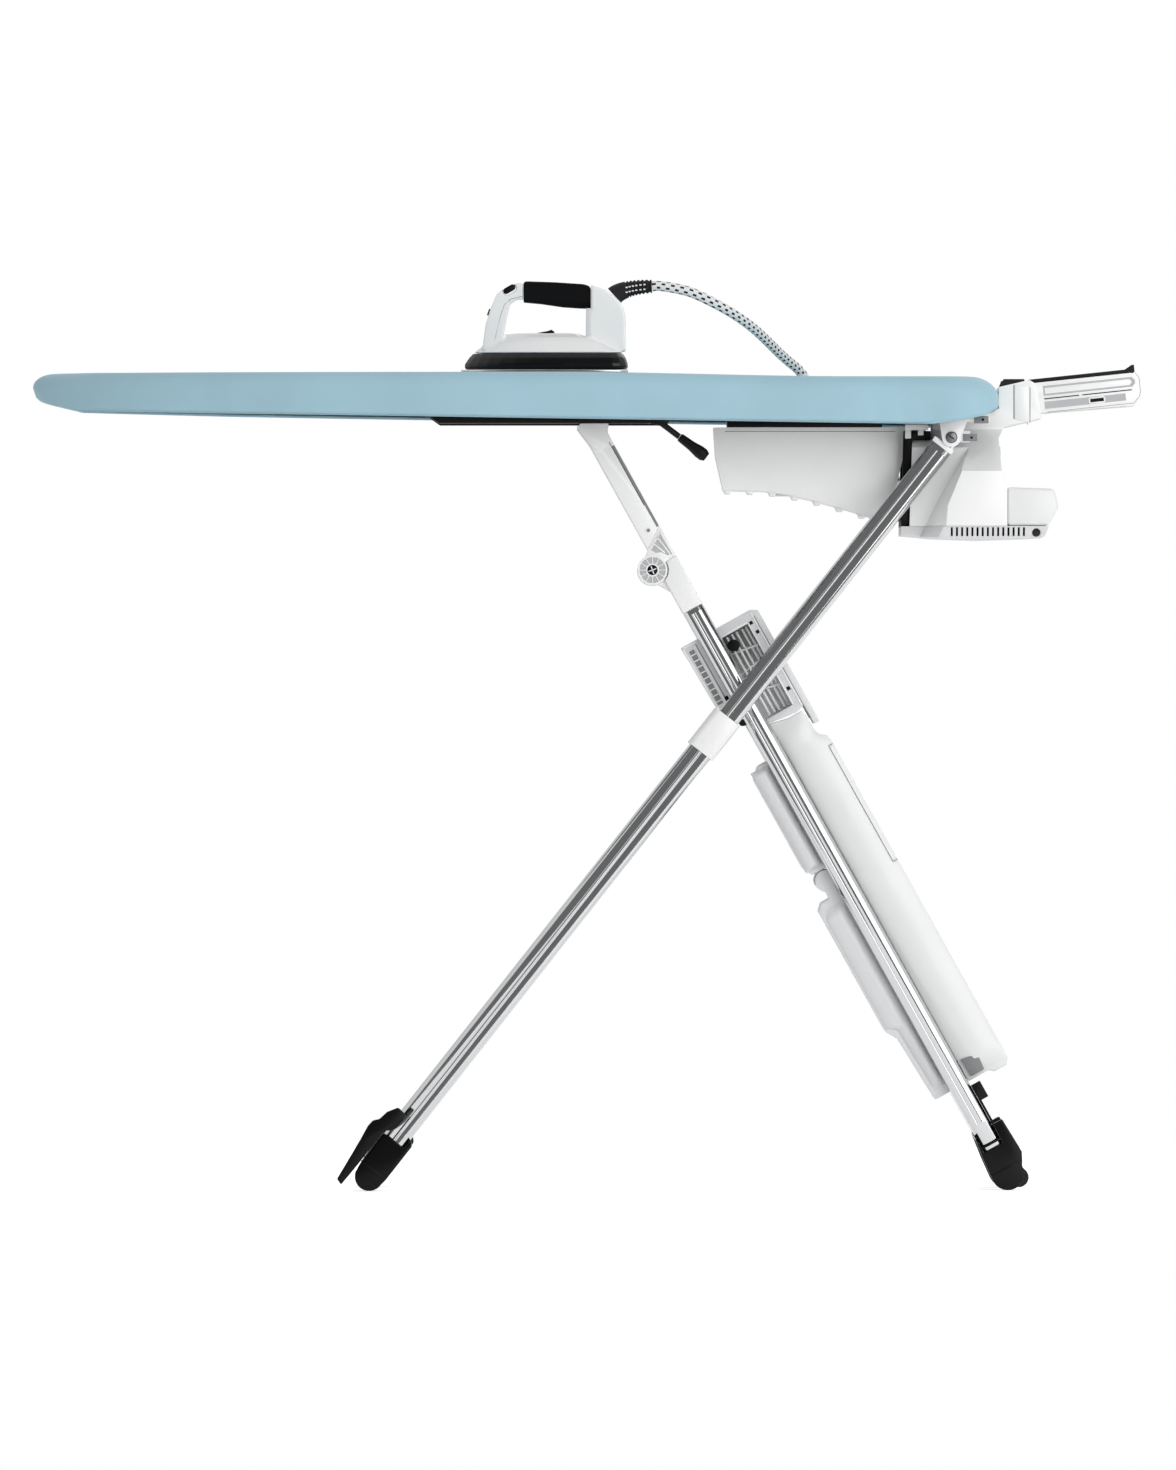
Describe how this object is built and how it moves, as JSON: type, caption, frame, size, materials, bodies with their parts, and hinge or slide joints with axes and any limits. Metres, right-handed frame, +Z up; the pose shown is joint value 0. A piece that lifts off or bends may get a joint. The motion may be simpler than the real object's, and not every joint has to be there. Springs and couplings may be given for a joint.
{
  "type": "vacuum ironing table",
  "caption": "Folding ironing table with a padded suction board, scissor legs, a blower under the board, a rear steam generator, an iron rest and a steam iron on a hose.",
  "frame": {"origin": "on the floor, under the middle of the table with its iron rest, hose left out", "axes": "+X from the board's nose to the iron rest, +Y away from the user, +Z up"},
  "size_m": [1.385, 0.4414, 1.1361],
  "materials": {
    "white_plastic": "satin gloss white",
    "grey_plastic": "satin light grey",
    "black_plastic": "satin black",
    "rubber": "matte black",
    "chrome": "polished",
    "steel": "plain sheet steel",
    "cover_fabric": "woven, pale blue grey",
    "foam": "open foam",
    "hose_braid": "black and white braid over a rubber hose"
  },
  "bodies": {
    "board": {"board_tray": "steel", "mesh_deck": "steel", "foam_pad": "foam", "board_cover": "cover_fabric", "slide_rail_near": "black_plastic", "slide_rail_far": "black_plastic", "lever_bracket": "black_plastic", "rear_hinge_bracket_near": "white_plastic", "rear_hinge_bracket_far": "white_plastic", "blower_housing": "white_plastic", "blower_flange": "black_plastic", "blower_motor": "steel", "generator_shell": "white_plastic", "wiring_duct": "black_plastic", "generator_base": "grey_plastic", "boiler": "steel", "mains_gland": "rubber", "control_panel": "black_plastic", "hose_gland": "black_plastic", "rest_hinge_pin": "steel", "steam_hose": "hose_braid"},
    "impeller": {"impeller": "white_plastic"},
    "water_tank": {"water_tank": "grey_plastic"},
    "iron_rest": {"rest_frame": "white_plastic", "rest_pad": "rubber"},
    "power_button": {"power_button": "grey_plastic"},
    "height_lever": {"lever_rod": "black_plastic", "lever_grip": "black_plastic"},
    "rear_leg": {"rear_tube_near": "chrome", "rear_tube_far": "chrome", "rear_sleeve_near": "white_plastic", "rear_sleeve_far": "white_plastic", "rear_foot_bar": "black_plastic", "cord_wrap_plate": "black_plastic"},
    "carriage": {"carriage_near": "white_plastic", "carriage_far": "white_plastic"},
    "support_arm": {"arm_near": "white_plastic", "arm_far": "white_plastic", "knee_knuckle_near": "white_plastic", "knee_knuckle_far": "white_plastic"},
    "front_leg": {"knee_sleeve_near": "white_plastic", "knee_sleeve_far": "white_plastic", "front_tube_near": "chrome", "front_tube_far": "chrome", "scissor_bracket": "grey_plastic", "leg_casing": "white_plastic", "upper_cover": "grey_plastic", "lower_cover": "grey_plastic", "front_foot_bar": "black_plastic", "leg_catch": "steel"},
    "wheel_near": {"wheel_near": "rubber"},
    "wheel_far": {"wheel_far": "rubber"},
    "iron": {"iron_body": "white_plastic", "iron_grip": "black_plastic", "heat_shield": "black_plastic", "soleplate": "chrome", "hose_relief": "rubber"},
    "steam_button": {"steam_button": "black_plastic"},
    "front_button": {"front_button": "black_plastic"},
    "steam_slider": {"steam_slider": "black_plastic"}
  },
  "joints": [
    {"name": "leg_fold", "type": "hinge", "parent": "board", "child": "rear_leg", "pos_m": [0.4531, 0, 0.9369], "axis": [0, 1, 0], "range_deg": [0, 43.75]},
    {"name": "carriage_slide", "type": "slide", "parent": "board", "child": "carriage", "axis": [1, 0, 0], "range_m": [0, 0.0468]},
    {"name": "arm_swing", "type": "hinge", "parent": "carriage", "child": "support_arm", "pos_m": [0.01464, 0, 0.9356], "axis": [0, 1, 0], "range_deg": [-61.2, 0]},
    {"name": "knee_fold", "type": "hinge", "parent": "support_arm", "child": "front_leg", "pos_m": [0.08149, 0, 0.7723], "axis": [0, 1, 0], "range_deg": [0, 176]},
    {"name": "wheel_spin_near", "type": "hinge", "parent": "front_leg", "child": "wheel_near", "pos_m": [0.53832, -0.08, 0.0156], "axis": [0, 1, 0], "continuous": true},
    {"name": "wheel_spin_far", "type": "hinge", "parent": "front_leg", "child": "wheel_far", "pos_m": [0.53832, 0.08, 0.0156], "axis": [0, 1, 0], "continuous": true},
    {"name": "impeller_spin", "type": "hinge", "parent": "board", "child": "impeller", "pos_m": [0.26175, 0, 0.92], "axis": [0, 0, 1], "continuous": true},
    {"name": "tank_pull", "type": "slide", "parent": "board", "child": "water_tank", "axis": [1, 0, 0], "range_m": [0, 0.15]},
    {"name": "rest_fold", "type": "hinge", "parent": "board", "child": "iron_rest", "pos_m": [0.54375, 0, 0.9856], "axis": [0, -1, 0], "range_deg": [0, 88]},
    {"name": "power_press", "type": "slide", "parent": "board", "child": "power_button", "axis": [-1, 0, 0], "range_m": [0, 0.0015], "stiffness_N_per_m": 300, "springref_m": -0.0008},
    {"name": "height_lever_squeeze", "type": "hinge", "parent": "board", "child": "height_lever", "pos_m": [0.09, -0.185, 0.956], "axis": [0, -1, 0], "range_deg": [0, 20], "stiffness_Nm_per_rad": 0.3, "springref_deg": -8.59},
    {"name": "iron_lift", "type": "slide", "parent": "board", "child": "iron", "axis": [0, 0, 1], "range_m": [0, 0.12]},
    {"name": "steam_press", "type": "slide", "parent": "iron", "child": "steam_button", "axis": [0.5, 0, -0.866], "range_m": [0, 0.0012], "stiffness_N_per_m": 250, "springref_m": -0.0008},
    {"name": "front_press", "type": "slide", "parent": "iron", "child": "front_button", "axis": [0.9397, 0, -0.342], "range_m": [0, 0.001], "stiffness_N_per_m": 250, "springref_m": -0.0008},
    {"name": "steam_amount", "type": "slide", "parent": "iron", "child": "steam_slider", "axis": [1, 0, 0], "range_m": [0, 0.012]}
  ],
  "couplings": [
    {"joint": "carriage_slide", "follows": "leg_fold", "m_per_rad": 0.061094},
    {"joint": "arm_swing", "follows": "leg_fold", "ratio": -1.3932},
    {"joint": "knee_fold", "follows": "leg_fold", "ratio": 4.0169}
  ]
}
